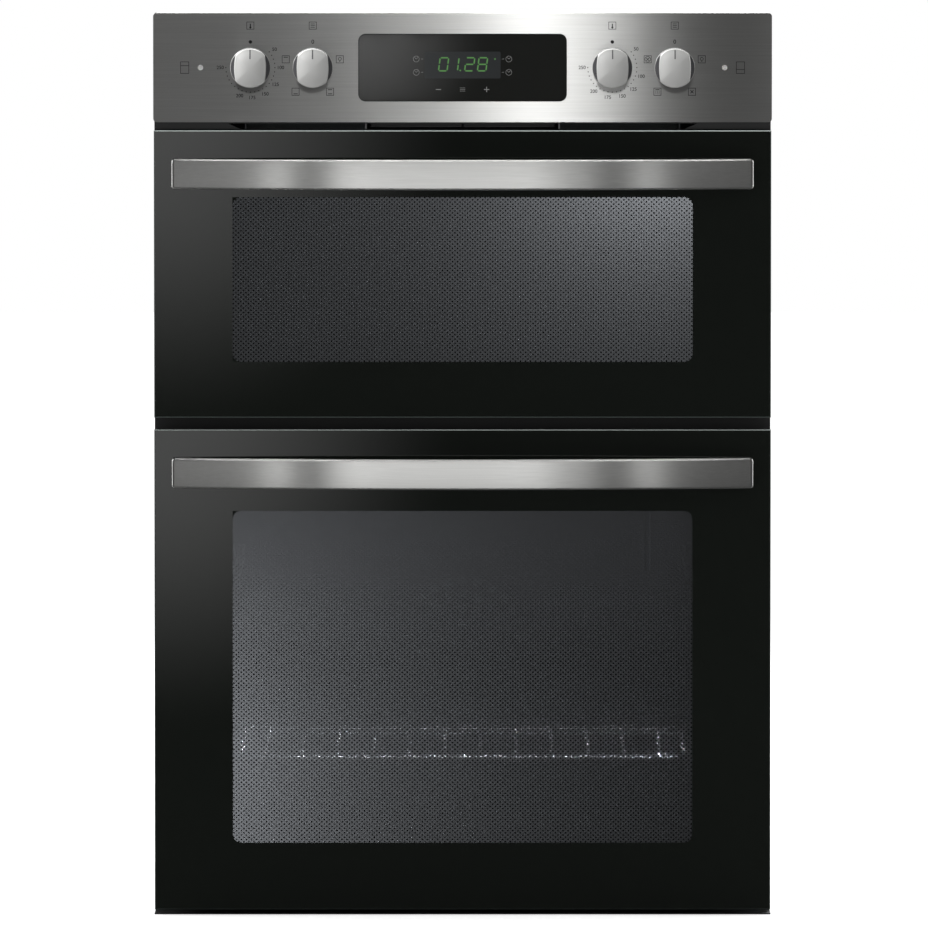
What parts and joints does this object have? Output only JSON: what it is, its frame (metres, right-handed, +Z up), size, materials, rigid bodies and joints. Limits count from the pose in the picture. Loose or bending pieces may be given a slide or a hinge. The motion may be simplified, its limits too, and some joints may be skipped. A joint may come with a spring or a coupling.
{
  "type": "wall oven",
  "caption": "Built-in electric wall oven with a small grill oven over a fan oven, drop-down black glass doors, bowed steel handles and a steel control fascia with rotary knobs and a clock.",
  "frame": {"origin": "middle of the underside of the base plate", "axes": "+X right seen from the front, -Y out of the front, +Z up"},
  "size_m": [0.595, 0.6299, 0.8706],
  "materials": {
    "galvanised_sheet": "galvanised steel sheet with a matt spangle",
    "black_enamelled_frame": "black enamelled steel sheet",
    "grey_cavity_enamel": "dark grey vitreous enamel with pale flecks",
    "mineral_wool": "pale mineral wool blanket",
    "zinc_plated_steel": "zinc plated steel",
    "heater_sheath": "oxidised heater sheath",
    "lamp_glass": "clear heat resistant glass",
    "lamp_ceramic": "white ceramic lamp holder",
    "fan_steel": "aluminised steel sheet",
    "motor_steel": "painted motor body",
    "brushed_stainless": "stainless steel with a horizontal brush",
    "clock_glass": "black printed glass",
    "dark_plastic": "matt dark plastic",
    "pilot_lens": "white translucent lens",
    "knob_satin": "satin silver finish with a dark skirt",
    "door_glass": "black printed toughened glass with a dotted window",
    "inner_door_glass": "clear heat reflecting glass",
    "seal_braid": "braided glass fibre",
    "chromed_wire": "bright chromed wire",
    "rubber_gland": "black nylon"
  },
  "bodies": {
    "case": {"base_plate": "galvanised_sheet", "side_panels": "galvanised_sheet", "rear_panel": "galvanised_sheet", "top_cover": "galvanised_sheet", "case_screws": "zinc_plated_steel", "front_frame": "black_enamelled_frame", "cavity_insulation": "mineral_wool", "hinge_arms": "zinc_plated_steel", "hinge_receivers": "zinc_plated_steel", "top_grill_element": "heater_sheath", "top_base_element": "heater_sheath", "main_ring_element": "heater_sheath", "lamp_lenses": "lamp_glass", "lamp_holders": "lamp_ceramic", "fan_cover": "grey_cavity_enamel", "fan_motor": "motor_steel", "control_fascia": "brushed_stainless", "control_bracket": "galvanised_sheet", "clock_window": "clock_glass", "clock_module": "dark_plastic", "pilot_lamps": "pilot_lens", "thermostats": "motor_steel", "selector_switches": "dark_plastic", "vent_strip": "black_enamelled_frame", "compartment_floor": "galvanised_sheet", "cooling_duct": "galvanised_sheet", "blower_housing": "dark_plastic", "blower_motor": "motor_steel", "terminal_box": "dark_plastic", "cable_gland": "rubber_gland", "top_cavity": "grey_cavity_enamel", "top_door_seal": "seal_braid", "top_rack_supports": "chromed_wire", "main_cavity": "grey_cavity_enamel", "main_door_seal": "seal_braid", "main_rack_supports": "chromed_wire"},
    "top_door": {"top_door_outer_glass": "door_glass", "top_door_inner_glass": "inner_door_glass", "top_door_side_rails": "dark_plastic", "top_door_top_trim": "dark_plastic", "top_door_bottom_trim": "dark_plastic", "top_door_hinges": "zinc_plated_steel", "top_door_handle": "brushed_stainless", "top_handle_fixings": "zinc_plated_steel"},
    "main_door": {"main_door_outer_glass": "door_glass", "main_door_inner_glass": "inner_door_glass", "main_door_side_rails": "dark_plastic", "main_door_top_trim": "dark_plastic", "main_door_bottom_trim": "dark_plastic", "main_door_hinges": "zinc_plated_steel", "main_door_handle": "brushed_stainless", "main_handle_fixings": "zinc_plated_steel"},
    "top_temperature_control": {"top_temperature_knob": "knob_satin"},
    "top_function_control": {"top_function_knob": "knob_satin"},
    "main_temperature_control": {"main_temperature_knob": "knob_satin"},
    "main_function_control": {"main_function_knob": "knob_satin"},
    "oven_fan": {"oven_fan_blade": "fan_steel"},
    "cooling_blower": {"blower_wheel": "dark_plastic"},
    "top_wire_shelf": {"top_shelf": "chromed_wire"},
    "main_wire_shelf": {"main_shelf": "chromed_wire"}
  },
  "joints": [
    {"name": "top_door_hinge", "type": "hinge", "parent": "case", "child": "top_door", "pos_m": [0, -0.297, 0.5051], "axis": [1, 0, 0], "range_deg": [0, 90], "stiffness_Nm_per_rad": 6, "springref_deg": -20.05},
    {"name": "main_door_hinge", "type": "hinge", "parent": "case", "child": "main_door", "pos_m": [0, -0.297, 0.0295], "axis": [1, 0, 0], "range_deg": [0, 90], "stiffness_Nm_per_rad": 11, "springref_deg": -20.05},
    {"name": "top_temperature_turn", "type": "hinge", "parent": "case", "child": "top_temperature_control", "pos_m": [-0.204, -0.311, 0.8181], "axis": [0, 1, 0], "range_deg": [0, 270]},
    {"name": "top_function_turn", "type": "hinge", "parent": "case", "child": "top_function_control", "pos_m": [-0.144, -0.311, 0.8181], "axis": [0, 1, 0], "continuous": true},
    {"name": "main_temperature_turn", "type": "hinge", "parent": "case", "child": "main_temperature_control", "pos_m": [0.144, -0.311, 0.8181], "axis": [0, 1, 0], "range_deg": [0, 270]},
    {"name": "main_function_turn", "type": "hinge", "parent": "case", "child": "main_function_control", "pos_m": [0.204, -0.311, 0.8181], "axis": [0, 1, 0], "continuous": true},
    {"name": "oven_fan_spin", "type": "hinge", "parent": "case", "child": "oven_fan", "pos_m": [0, 0.13, 0.237], "axis": [0, 1, 0], "continuous": true},
    {"name": "cooling_blower_spin", "type": "hinge", "parent": "case", "child": "cooling_blower", "pos_m": [0, -0.075, 0.7801], "axis": [1, 0, 0], "continuous": true},
    {"name": "top_shelf_slide", "type": "slide", "parent": "case", "child": "top_wire_shelf", "axis": [0, -1, 0], "range_m": [0, 0.025]},
    {"name": "main_shelf_slide", "type": "slide", "parent": "case", "child": "main_wire_shelf", "axis": [0, -1, 0], "range_m": [0, 0.025]}
  ]
}
